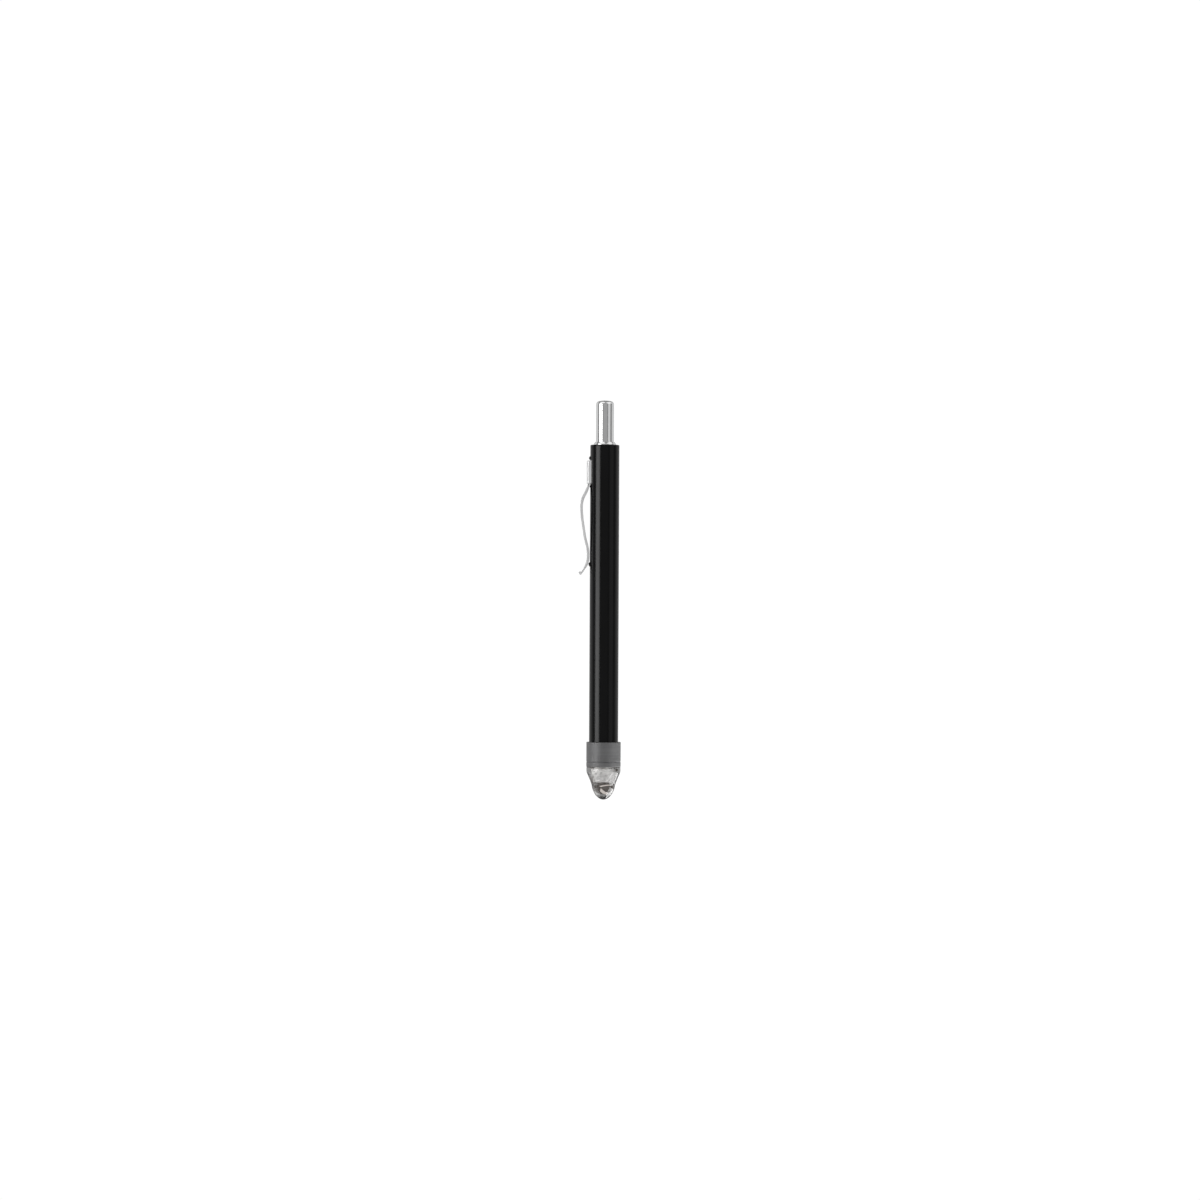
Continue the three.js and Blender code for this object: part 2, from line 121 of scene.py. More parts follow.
def softened(outline, radius, steps=3):
    """The closed outline with each corner that is off the axis rounded to about this radius."""
    result = []
    count = len(outline)
    for i, corner in enumerate(outline):
        here = Vector(corner)
        before = Vector(outline[i - 1]) - here
        after = Vector(outline[(i + 1) % count]) - here
        on_axis = corner[0] < 1e-6
        straight = before.normalized().dot(after.normalized()) < -0.985
        reach = min(radius, before.length * 0.45, after.length * 0.45)
        if on_axis or straight or reach < 1e-4:
            result.append(tuple(corner))
            continue
        start = here + before.normalized() * reach
        end = here + after.normalized() * reach
        for step in range(steps + 1):
            t = step / steps
            point = start * (1 - t) ** 2 + here * 2 * t * (1 - t) + end * t**2
            result.append(tuple(point))
    return result


def turned(name, outline, segments=FINE, ripple=None):
    """A closed solid of revolution. ripple(r, z, angle) may return a changed radius.

    An outline that starts and ends on the axis is closed there, and any other on itself.
    """
    verts = []
    rings = []
    for r, z in outline:
        if r < 1e-6:
            rings.append([len(verts)])
            verts.append((0, 0, z))
            continue
        ring = []
        for i in range(segments):
            angle = 2 * math.pi * i / segments
            radius = ripple(r, z, angle) if ripple else r
            ring.append(len(verts))
            verts.append((radius * math.cos(angle), radius * math.sin(angle), z))
        rings.append(ring)
    faces = []
    for this, following in zip(rings, rings[1:] + rings[:1]):
        if len(this) == 1 and len(following) == 1:
            continue
        for i in range(segments):
            j = (i + 1) % segments
            corners = [this[i % len(this)], this[j % len(this)]]
            corners += [following[j % len(following)], following[i % len(following)]]
            faces.append(list(dict.fromkeys(corners)))
    return new_object(name, verts, faces)


def lofted(name, sections):
    """A closed solid through equal-length rings of points, with flat ends."""
    count = len(sections[0])
    verts = [point for section in sections for point in section]
    faces = []
    for row in range(len(sections) - 1):
        for i in range(count):
            j = (i + 1) % count
            low, high = row * count, (row + 1) * count
            faces.append([low + i, low + j, high + j, high + i])
    faces.append(list(range(count)))
    faces.append([(len(sections) - 1) * count + i for i in range(count)])
    return new_object(name, verts, faces)


def helix(name, wire_r, radius_at, z_at, turns, sides=14, steps_per_turn=40):
    """A round wire wound about Z. radius_at and z_at take the fraction of its length."""
    steps = int(turns * steps_per_turn)
    middle = []
    for step in range(steps + 1):
        t = step / steps
        angle = 2 * math.pi * turns * t
        radius = radius_at(t)
        middle.append(Vector((radius * math.cos(angle), radius * math.sin(angle), z_at(t))))
    sections = []
    for step, centre in enumerate(middle):
        before = middle[max(step - 1, 0)]
        after = middle[min(step + 1, steps)]
        along = (after - before).normalized()
        side = Vector((centre.x, centre.y, 0)).normalized()
        up = along.cross(side)
        ring = []
        for k in range(sides):
            turn = 2 * math.pi * k / sides
            ring.append(tuple(centre + (side * math.cos(turn) + up * math.sin(turn)) * wire_r))
        sections.append(ring)
    return lofted(name, sections)


def smooth_step(t):
    """0 below 0, 1 above 1, and a smooth S between them."""
    t = min(max(t, 0.0), 1.0)
    return t * t * (3 - 2 * t)


def spring_rise(low, high, closed, turns):
    """Height along a compression spring. This many turns at each end lie almost flat."""
    flat = closed / turns
    wire_share = 0.06  # share of the spring's height that each end takes up

    def rise(t):
        if t < flat:
            return low + (high - low) * wire_share * t / flat
        if t > 1 - flat:
            return high - (high - low) * wire_share * (1 - t) / flat
        inner = (t - flat) / (1 - 2 * flat)
        return low + (high - low) * (wire_share + (1 - 2 * wire_share) * inner)

    return rise


def cut_away(piece, cutter):
    """Subtracts one solid from another and removes the cutter.

    Only the cut is applied to the mesh. The piece's other modifiers stay live.
    """
    boolean = piece.modifiers.new("cut", "BOOLEAN")
    boolean.operation = "DIFFERENCE"
    boolean.solver = "EXACT"
    boolean.object = cutter
    piece.modifiers.move(len(piece.modifiers) - 1, 0)
    for modifier in piece.modifiers:
        modifier.show_viewport = modifier.name == "cut"
    bpy.context.view_layer.update()
    graph = bpy.context.evaluated_depsgraph_get()
    mesh = bpy.data.meshes.new_from_object(piece.evaluated_get(graph))
    piece.modifiers.remove(boolean)
    for modifier in piece.modifiers:
        modifier.show_viewport = True
    piece.data = mesh
    bpy.data.objects.remove(cutter)


def box_solid(name, x_range, y_range, z_range):
    """A plain block, used only as a cutter."""
    x_low, x_high = x_range
    y_low, y_high = y_range
    corners = [(x_low, y_low), (x_high, y_low), (x_high, y_high), (x_low, y_high)]
    return lofted(name, [[(x, y, z) for x, y in corners] for z in z_range])


# ------------------------------------------------------------------------ materials


class Material:
    """A Principled material with small helpers for procedural detail in object space.

    Keyword arguments set the shader's own sockets, with "_" for each space in a socket's name.
    """

    def __init__(self, name, **sockets):
        self.material = bpy.data.materials.new(name)
        self.material.use_nodes = True
        self.nodes = self.material.node_tree.nodes
        self.links = self.material.node_tree.links
        self.shader = self.nodes["Principled BSDF"]
        for socket, value in sockets.items():
            self.shader.inputs[socket.replace("_", " ")].default_value = value
        self.coordinates = self.nodes.new("ShaderNodeTexCoord").outputs["Object"]

    def stretched(self, x, y, z):
        """Object coordinates scaled per axis, in cycles per metre."""
        mapping = self.nodes.new("ShaderNodeMapping")
        mapping.inputs["Scale"].default_value = (x, y, z)
        self.links.new(self.coordinates, mapping.inputs["Vector"])
        return mapping.outputs["Vector"]

    def noise(self, scale, detail=3.0, roughness=0.55):
        """Fractal noise from 0 to 1, whose scale is in cycles per metre along each axis."""
        texture = self.nodes.new("ShaderNodeTexNoise")
        texture.inputs["Scale"].default_value = 1.0
        texture.inputs["Detail"].default_value = detail
        texture.inputs["Roughness"].default_value = roughness
        self.links.new(self.stretched(*scale), texture.inputs["Vector"])
        return texture.outputs["Fac"]

    def ramp(self, source, low, high, low_value, high_value):
        """Maps a value from low..high to two values, clamped."""
        node = self.nodes.new("ShaderNodeMapRange")
        node.inputs["From Min"].default_value = low
        node.inputs["From Max"].default_value = high
        node.inputs["To Min"].default_value = low_value
        node.inputs["To Max"].default_value = high_value
        self.links.new(source, node.inputs["Value"])
        return node.outputs["Result"]

    def combined(self, operation, a, b):
        """Two values or sockets put together by one of the Math node's operations."""
        node = self.nodes.new("ShaderNodeMath")
        node.operation = operation
        for socket, value in zip(node.inputs, (a, b)):
            if isinstance(value, (int, float)):
                socket.default_value = value
            else:
                self.links.new(value, socket)
        return node.outputs["Value"]

    def mixed(self, factor, first, second):
        """A colour between two colours or colour sockets."""
        node = self.nodes.new("ShaderNodeMix")
        node.data_type = "RGBA"
        self.links.new(factor, node.inputs["Factor"])
        for socket, value in ((node.inputs[6], first), (node.inputs[7], second)):
            if isinstance(value, tuple):
                socket.default_value = (*value, 1)
            else:
                self.links.new(value, socket)
        return node.outputs[2]

    def bump(self, *layers):
        """Adds bump layers of (height, distance in mm, strength), one over the other."""
        normal = None
        for height, distance, strength in layers:
            node = self.nodes.new("ShaderNodeBump")
            node.inputs["Distance"].default_value = distance * MM
            node.inputs["Strength"].default_value = strength
            self.links.new(height, node.inputs["Height"])
            if normal is not None:
                self.links.new(normal, node.inputs["Normal"])
            normal = node.outputs["Normal"]
        self.links.new(normal, self.shader.inputs["Normal"])

    def drive(self, socket, source):
        """Lets a node's output set one of the shader's sockets."""
        self.links.new(source, self.shader.inputs[socket])


def black_lacquer():
    """The tube: deep black paint with faint drawing lines, blotches and fine specks."""
    m = Material("black_lacquer", Specular_IOR_Level=0.22, Metallic=0.0)
    drawn = m.noise((900, 900, 25), 4)
    blotch = m.noise((220, 220, 90), 3)
    peel = m.noise((3200, 3200, 2200), 2)
    speck = m.noise((6000, 6000, 6000), 1)
    m.drive("Base Color", m.mixed(m.ramp(blotch, 0.3, 0.7, 0, 1), (0.0008, 0.0008, 0.0009),
                                  (0.0016, 0.0016, 0.0018)))
    uneven = m.combined("ADD", m.ramp(drawn, 0.3, 0.7, 0.14, 0.2),
                        m.ramp(blotch, 0.35, 0.7, 0.0, 0.04))
    m.drive("Roughness", m.combined("ADD", uneven, m.ramp(speck, 0.66, 0.74, 0.0, 0.1)))
    m.bump((drawn, 0.004, 0.2), (peel, 0.003, 0.2))
    return m.material


def bright_chrome():
    """The push button and its guide: plating with a light haze and hairlines."""
    m = Material("bright_chrome", Metallic=1.0)
    haze = m.noise((380, 380, 260), 3)
    hairline = m.noise((5200, 5200, 90), 3)
    m.drive("Base Color", m.mixed(m.ramp(haze, 0.3, 0.7, 0, 1), (0.84, 0.845, 0.85),
                                  (0.9, 0.9, 0.9)))
    m.drive("Roughness", m.combined("ADD", m.ramp(haze, 0.35, 0.75, 0.11, 0.16),
                                    m.ramp(hairline, 0.6, 0.8, 0, 0.08)))
    m.bump((hairline, 0.0015, 0.15), (haze, 0.01, 0.1))
    return m.material


def gunmetal():
    """The collar: grey turned metal with fine rings."""
    m = Material("gunmetal", Metallic=0.55, Specular_IOR_Level=0.4)
    rings = m.noise((30, 30, 5200), 4, 0.6)
    cloud = m.noise((260, 260, 200), 3)
    grit = m.noise((7000, 7000, 7000), 2)
    tone = m.combined("ADD", m.combined("MULTIPLY", rings, 0.6),
                      m.combined("MULTIPLY", cloud, 0.4))
    m.drive("Base Color", m.mixed(m.ramp(tone, 0.35, 0.65, 0, 1), (0.125, 0.125, 0.127),
                                  (0.19, 0.19, 0.192)))
    m.drive("Roughness", m.ramp(rings, 0.3, 0.7, 0.45, 0.58))
    m.bump((rings, 0.006, 0.35), (grit, 0.003, 0.3))
    return m.material


def spring_steel():
    """The clip, its saddle and the springs: satin steel with a lengthwise grain."""
    m = Material("spring_steel", Metallic=0.4)
    grain = m.noise((4200, 4200, 120), 4, 0.6)
    cloud = m.noise((300, 300, 160), 3)
    m.drive("Base Color", m.mixed(m.ramp(cloud, 0.3, 0.7, 0, 1), (0.74, 0.74, 0.745),
                                  (0.83, 0.83, 0.83)))
    m.drive("Roughness", m.ramp(grain, 0.3, 0.75, 0.36, 0.48))
    m.bump((grain, 0.003, 0.3))
    return m.material


def polished_nickel():
    """The reflector and the small plated lamp parts."""
    m = Material("polished_nickel", Metallic=0.9)
    spin = m.noise((60, 60, 3200), 3)
    haze = m.noise((420, 420, 420), 3)
    m.drive("Base Color", m.mixed(m.ramp(haze, 0.3, 0.7, 0, 1), (0.78, 0.78, 0.785),
                                  (0.9, 0.9, 0.905)))
    m.drive("Roughness", m.ramp(haze, 0.3, 0.7, 0.5, 0.66))
    m.bump((spin, 0.004, 0.2))
    return m.material


def yellow_brass():
    """Turned brass with patches of tarnish."""
    m = Material("yellow_brass", Metallic=1.0)
    rings = m.noise((50, 50, 4200), 3)
    tarnish = m.noise((500, 500, 420), 4)
    m.drive("Base Color", m.mixed(m.ramp(tarnish, 0.4, 0.7, 0, 1), (0.70, 0.50, 0.20),
                                  (0.46, 0.31, 0.13)))
    m.drive("Roughness", m.ramp(tarnish, 0.3, 0.7, 0.2, 0.42))
    m.bump((rings, 0.004, 0.3))
    return m.material


def tin_plate():
    """The cells' terminals and the solder: dull tin with a crystal pattern."""
    m = Material("tin_plate", Metallic=1.0)
    crystal = m.noise((900, 900, 900), 2)
    grit = m.noise((5200, 5200, 5200), 2)
    m.drive("Base Color", m.mixed(m.ramp(crystal, 0.35, 0.65, 0, 1), (0.58, 0.58, 0.56),
                                  (0.68, 0.68, 0.67)))
    m.drive("Roughness", m.ramp(crystal, 0.3, 0.7, 0.2, 0.36))
    m.bump((grit, 0.003, 0.25))
    return m.material


def tungsten():
    """The lamp's coil."""
    m = Material("tungsten", Metallic=1.0)
    grain = m.noise((20000, 20000, 20000), 2)
    m.drive("Base Color", m.mixed(grain, (0.16, 0.16, 0.17), (0.3, 0.29, 0.29)))
    m.drive("Roughness", m.ramp(grain, 0.3, 0.7, 0.3, 0.5))
    m.bump((grain, 0.002, 0.3))
    return m.material


def clear_plastic():
    """The nose: clear moulded plastic with slight flow marks and scuffs."""
    m = Material("clear_plastic", Transmission_Weight=1.0, IOR=1.52)
    scuff = m.noise((1500, 1500, 900), 4)
    flow = m.noise((150, 150, 260), 2)
    m.drive("Base Color", m.mixed(flow, (0.955, 0.945, 0.93), (0.985, 0.98, 0.97)))
    m.drive("Roughness", m.ramp(scuff, 0.45, 0.8, 0.015, 0.09))
    m.bump((flow, 0.02, 0.1))
    return m.material


def lamp_glass():
    """The lamp's clear envelope."""
    m = Material("lamp_glass", Transmission_Weight=1.0, IOR=1.5)
    flow = m.noise((500, 500, 700), 2)
    m.drive("Base Color", m.mixed(flow, (0.86, 0.84, 0.80), (0.93, 0.92, 0.89)))
    m.drive("Roughness", m.ramp(flow, 0.3, 0.8, 0.0, 0.03))
    m.bump((flow, 0.01, 0.1))
    return m.material


def bead_glass():
    """The green glass bead that holds the lamp's leads."""
    m = Material("bead_glass", Transmission_Weight=0.35, IOR=1.52)
    swirl = m.noise((1800, 1800, 2600), 3)
    m.drive("Base Color", m.mixed(swirl, (0.08, 0.17, 0.14), (0.16, 0.27, 0.22)))
    m.drive("Roughness", m.ramp(swirl, 0.3, 0.7, 0.06, 0.16))
    m.bump((swirl, 0.01, 0.1))
    return m.material


def cell_wrap():
    """The cells' dark green shrink wrap, with lengthwise creases."""
    m = Material("cell_wrap", Specular_IOR_Level=0.5, Coat_Weight=0.4, Coat_Roughness=0.12)
    crease = m.noise((700, 700, 60), 4)
    print_grain = m.noise((9000, 9000, 9000), 1)
    m.drive("Base Color", m.mixed(m.ramp(print_grain, 0.3, 0.7, 0, 1), (0.025, 0.06, 0.045),
                                  (0.04, 0.085, 0.065)))
    m.drive("Roughness", m.ramp(crease, 0.3, 0.7, 0.28, 0.42))
    m.bump((crease, 0.02, 0.25))
    return m.material


def cell_washer():
    """The cells' pale fibre washers."""
    m = Material("cell_washer", Metallic=0.0)
    fibre = m.noise((3000, 700, 3000), 4)
    m.drive("Base Color", m.mixed(fibre, (0.68, 0.66, 0.6), (0.84, 0.83, 0.78)))
    m.drive("Roughness", m.ramp(fibre, 0.3, 0.7, 0.6, 0.8))
    m.bump((fibre, 0.01, 0.4))
    return m.material


def black_plastic():
    """Matt moulded plastic of the insulators."""
    m = Material("black_plastic", Metallic=0.0)
    grain = m.noise((4200, 4200, 4200), 3)
    m.drive("Base Color", m.mixed(grain, (0.012, 0.012, 0.013), (0.024, 0.024, 0.026)))
    m.drive("Roughness", m.ramp(grain, 0.3, 0.7, 0.42, 0.58))
    m.bump((grain, 0.008, 0.35))
    return m.material


def seal_rubber():
    """The O-ring: matt rubber with a little dust."""
    m = Material("seal_rubber", Specular_IOR_Level=0.35)
    grain = m.noise((6000, 6000, 6000), 3)
    dust = m.noise((900, 900, 900), 4)
    m.drive("Base Color", m.mixed(m.ramp(dust, 0.5, 0.8, 0, 1), (0.01, 0.01, 0.01),
                                  (0.035, 0.034, 0.032)))
    m.drive("Roughness", m.ramp(grain, 0.3, 0.7, 0.55, 0.75))
    m.bump((grain, 0.008, 0.4))
    return m.material


MAKERS = (black_lacquer, bright_chrome, gunmetal, spring_steel, polished_nickel, yellow_brass,
          tin_plate, tungsten, clear_plastic, lamp_glass, bead_glass, cell_wrap, cell_washer,
          black_plastic, seal_rubber)
MATERIALS = {maker.__name__: maker() for maker in MAKERS}


def finish_piece(piece, slot, *nodes):
    """Gives a piece its finish and lets it stand for CAD nodes."""
    piece.data.materials.clear()
    piece.data.materials.append(MATERIALS[slot])
    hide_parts(*nodes)


def place(piece, body, slot, *nodes):
    """Finishes a rigid piece and lets it ride on a body."""
    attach(piece, body)
    finish_piece(piece, slot, *nodes)


def place_spring(spring, node):
    """Finishes a spring and bakes its placement into its mesh, without attaching it to a body."""
    finish_piece(spring, "spring_steel", node)
    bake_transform(spring)


# ------------------------------------------------------------------------ barrel

THREAD_PITCH = 1.0
THREAD_START = 15.0  # height at which the tube's thread starts
THREAD_TURNS = 3.6
MALE_ROOT_R = 4.72  # the tube's thread, whose ridges reach up to the tube's own radius
FEMALE_ROOT_R = 5.2  # the collar's thread, cut into its inside
FEMALE_CREST_R = 4.86
THREAD_STEP = 0.06  # height between the rings of points that carry a thread
THREAD_BASE = 0.3  # half the width of a ridge at its root
THREAD_CREST = 0.12  # and at its crest


def thread_height(z, angle, start, turns):
    """Share of a right-handed ridge's full height at this place, from 0 to 1."""
    turn = angle / (2 * math.pi)
    nearest = round((z - start) / THREAD_PITCH - turn) + turn
    if not -0.02 <= nearest <= turns:
        return 0.0
    off = abs(z - start - nearest * THREAD_PITCH)
    ridge = (THREAD_BASE - off) / (THREAD_BASE - THREAD_CREST)
    run_in = smooth_step(min(nearest, turns - nearest) * 5)
    return min(max(ridge, 0.0), 1.0) * run_in


def steps_between(low, high, step):
    """Even steps from low to high, both included, close to this far apart."""
    count = max(1, round((high - low) / step))
    return [low + (high - low) * i / count for i in range(count + 1)]


def build_barrel():
    """The tube with its outside thread below and its rolled lip above, and its three lugs."""
    bottom = TUBE_LOW
    neck_top = 19.7
    lip_low = TUBE_HIGH - 0.8
    lip_r = 3.9
    corner = 0.35
    outer = [(MALE_ROOT_R - 0.14, bottom), (MALE_ROOT_R, bottom + 0.14)]
    outer += [(MALE_ROOT_R, z) for z in steps_between(bottom + 0.2, neck_top - 0.3, THREAD_STEP)]
    outer += [(MALE_ROOT_R + 0.02, neck_top), (TUBE_R - 0.03, neck_top + 0.1)]
    outer += [(TUBE_R, neck_top + 0.16)]
    outer += arc(TUBE_R - corner, TUBE_HIGH - corner, corner, 0, 90, 8)
    inner = [(lip_r + 0.12, TUBE_HIGH), (lip_r, TUBE_HIGH - 0.12), (lip_r, lip_low)]
    inner += [(TUBE_BORE_R, lip_low - 0.02), (TUBE_BORE_R, bottom)]

    def threaded(r, z, angle):
        """Raises the ridges from the tube's neck and leaves all other places as they are."""
        if not (abs(r - MALE_ROOT_R) < 1e-6 and z < neck_top - 0.2):
            return r
        height = thread_height(z, angle, THREAD_START, THREAD_TURNS)
        return r + (TUBE_R - 0.01 - MALE_ROOT_R) * height

    tube = turned("tube", outer + inner, FINE, threaded)
    place(tube, "tube", "black_lacquer", "barrel")
    for name, z, top_r, half in (("upper", 117.3, 5.45, 0.75), ("lower", 107.55, 5.2, 0.6),
                                 ("rest", 80.8, 5.45, 0.9)):
        lug = build_lug("lug_" + name, z, top_r, half)
        place(lug, "tube", "black_lacquer")


def build_lug(name, z_centre, top_r, half_length):
    """A rounded lug raised from the tube's -X side."""
    half_width = 1.3
    foot_r = TUBE_R - 0.35
    across = 20
    along = 16
    sections = []
    for i in range(across + 1):
        y = -half_width + 2 * half_width * i / across
        swell = math.sqrt(max(0.0, 1 - abs(y / half_width) ** 5))
        foot_x = -math.sqrt(foot_r**2 - y**2)
        rise = (-top_r - foot_x) * (0.35 + 0.65 * swell)
        ring = []
        for k in range(along + 1):
            angle = math.pi * k / along
            ring.append((foot_x + rise * math.sin(angle), y,
                         z_centre + half_length * (0.75 + 0.25 * swell) * math.cos(angle)))
        sections.append(ring)
    return lofted(name, sections)


def build_seal():
    """The O-ring above the tube's thread."""
    low, high = levels("o_ring")
    radius = (high - low) / 2
    centre_r = outer_radius("o_ring") - radius
    seal = turned("seal_ring", arc(centre_r, (low + high) / 2, radius, 0, 350, 20), FINE)
    place(seal, "tube", "seal_rubber", "o_ring")


# ------------------------------------------------------------------------ clip

SADDLE_R = 6.2  # radius of the saddle's outside face
SADDLE_HALF = 2.1  # half the saddle's width
CLIP_THICK = 0.9
CLIP_ROOT_THICK = 0.6
CLIP_EDGE = 0.08  # radius of the strip's long edges
CLIP_HALF = 2.0  # half the strip's width below the saddle
TAB_HALF = 1.2  # and inside it


def saddle_section(outer_r, inset, z):
    """One level of the saddle in XY: rounded outside corners, flat flanks and a hollow back."""
    half = SADDLE_HALF - inset
    outer_r -= inset
    corner = 0.55 - inset
    inner_r = TUBE_R + 0.05
    # The corner's arc touches the flank at y = half and the outside arc of radius outer_r.
    centre_y = half - corner
    centre_x = -math.sqrt((outer_r - corner) ** 2 - centre_y**2)
    lean = math.asin(centre_y / (outer_r - corner))
    side = []
    for i in range(7):
        turn = math.radians(90) + (lean - math.radians(90)) * i / 6
        side.append((centre_x - corner * math.cos(turn), centre_y + corner * math.sin(turn), z))
    crown = []
    for i in range(1, 12):
        turn = lean * (1 - i / 6)
        crown.append((-outer_r * math.cos(turn), outer_r * math.sin(turn), z))
    other = [(x, -y, z) for x, y, _ in reversed(side)]
    hollow = []
    for i in range(13):
        y = -half + 2 * half * i / 12
        hollow.append((-math.sqrt(inner_r**2 - y**2), y, z))
    rim = 0.06  # keeps the edge between flank and hollow crisp
    near_low = (hollow[0][0] - rim, hollow[0][1], z)
    near_high = (hollow[-1][0] - rim, hollow[-1][1], z)
    return side + crown + other + [near_low] + hollow + [near_high]


def build_saddle():
    """The block that holds the clip's root, with a notch for the clip and two rivets."""
    slope_low = SADDLE_HIGH - 0.75
    top_r = TUBE_R + 0.85
    edge = 0.16
    sections = [saddle_section(SADDLE_R, edge, SADDLE_LOW)]
    for i in range(1, 5):
        turn = math.radians(90 * i / 4)
        sections.append(saddle_section(SADDLE_R, edge * (1 - math.sin(turn)),
                                       SADDLE_LOW + edge * (1 - math.cos(turn))))
    for z in steps_between(SADDLE_LOW + 0.4, slope_low, 0.4):
        sections.append(saddle_section(SADDLE_R, 0, z))
    for i in range(1, 9):
        t = i / 8
        drop = (SADDLE_R - top_r) * (1 - math.cos(math.radians(90 * t)))
        z = slope_low + (SADDLE_HIGH - slope_low) * math.sin(math.radians(90 * t))
        sections.append(saddle_section(SADDLE_R - drop, 0, z))
    saddle = lofted("saddle", sections)
    notch = box_solid("notch", (-5.9, -4), (-TAB_HALF - 0.2, TAB_HALF + 0.2),
                      (SADDLE_LOW - 1, SADDLE_LOW + 1.4))
    cut_away(saddle, notch)
    for node in ("saddle_rivet_lower", "saddle_rivet_upper"):
        low, high = levels(node)
        centre = (low + high) / 2
        recess = [(0, -7), (0.86, -7), (0.86, -5.6), (0.5, -5.6), (0.5, -4), (0, -4)]
        hole = turned("hole", recess, MEDIUM)
        hole.data.transform(sideways(centre))
        cut_away(saddle, hole)
        head = turned(node + "_head", rivet_outline(), MEDIUM)
        head.data.transform(sideways(centre))
        place(head, "tube", "spring_steel", node)
    place(saddle, "tube", "spring_steel", "clip_saddle")


def sideways(z):
    """Turns a piece built along Z to lie along X at this height."""
    return Matrix.Translation((0, 0, z * MM)) @ Matrix.Rotation(math.radians(90), 4, "Y")


def rivet_outline():
    """A rivet with a low domed head, which stands back slightly from the saddle's face."""
    dome_r = 2.3
    crown = arc(0, -SADDLE_R + dome_r + 0.02, dome_r, -90, -70.5, 5)
    return crown + [(0.8, -6.05), (0.8, -5.66), (0.45, -5.64), (0.45, -4.5), (0, -4.5)]


def clip_route():
    """Points (x, z) on the strip's middle line, from its root down to its curled tip."""
    knots = [(-5.5, CLIP_HIGH - 0.05), (-5.5, 108.3), (-6.2, 106.1), (-7.5, 103.4),
             (-7.95, 100.5), (-7.7, 96.7), (-7.2, 93.2), (-6.65, 89.8), (-6.05, 87.4),
             (-5.67, 85.4), (-5.62, 83.6), (-5.74, 82.2), (-6.1, 80.8), (-6.9, 79.3)]
    points = []
    count = len(knots)
    per_span = 10
    for i in range(count - 1):
        p = [Vector(knots[min(max(i + k, 0), count - 1)]) for k in (-1, 0, 1, 2)]
        for step in range(per_span):
            t = step / per_span
            # A Catmull-Rom curve, which passes through every knot.
            points.append(0.5 * (2 * p[1] + (p[2] - p[0]) * t
                                 + (2 * p[0] - 5 * p[1] + 4 * p[2] - p[3]) * t**2
                                 + (3 * p[1] - p[0] - 3 * p[2] + p[3]) * t**3))
    points.append(Vector(knots[-1]))
    # The last stretch runs straight out and rolls up into a small loop.
    end = Vector((-8.0, 77.65))
    heading = (end - points[-1]).normalized()
    points += [points[-1].lerp(end, t) for t in (0.33, 0.67, 1.0)]
    loop_r = 0.31
    side = Vector((heading.y, -heading.x))
    centre = end + side * loop_r
    for step in range(1, 15):
        turn = math.radians(20 * step)
        shrink = 1 - 0.15 * step / 14
        spoke = -side * math.cos(turn) + heading * math.sin(turn)
        points.append(centre + spoke * loop_r * shrink)
    return points


def build_clip():
    """The spring strip: a narrow thin tab in the saddle, then wider, with a thin rolled tip."""
    route = clip_route()
    sections = []
    total = len(route) - 1
    for i, point in enumerate(route):
        before = route[max(i - 1, 0)]
        after = route[min(i + 1, total)]
        along = (after - before).normalized()
        normal = Vector((-along.y, along.x))
        height = point.y
        widen = smooth_step((108.35 - height) / 0.5)
        half_width = TAB_HALF + (CLIP_HALF - TAB_HALF) * widen
        if widen >= 1:
            half_width -= 0.25 * smooth_step((CLIP_HIGH - height) / 30)
        fullness = smooth_step((SADDLE_LOW - 0.2 - height) / 2.0)
        half_thick = (CLIP_ROOT_THICK + (CLIP_THICK - CLIP_ROOT_THICK) * fullness) / 2
        half_thick -= 0.18 * smooth_step((i - total + 30) / 16)
        sections.append(strip_section(point, normal, half_width, half_thick))
    clip = lofted("clip_strip", sections)
    place(clip, "clip", "spring_steel", "pocket_clip")


def strip_section(point, normal, half_width, half_thick):
    """A flat bar's section with rounded edges, square to the route."""
    ring = []
    edge = CLIP_EDGE
    steps = 4
    for y_side, n_side in ((1, 1), (-1, 1), (-1, -1), (1, -1)):
        for step in range(steps + 1):
            turn = math.radians(90 * step / steps)
            lead, lag = math.cos(turn), math.sin(turn)
            if y_side == n_side:
                across, out = lead, lag
            else:
                across, out = lag, lead
            y = y_side * (half_width - edge + edge * across)
            n = n_side * (half_thick - edge + edge * out)
            ring.append((point.x + normal.x * n, y, point.y + normal.y * n))
    return ring


# ------------------------------------------------------------------------ button and switch


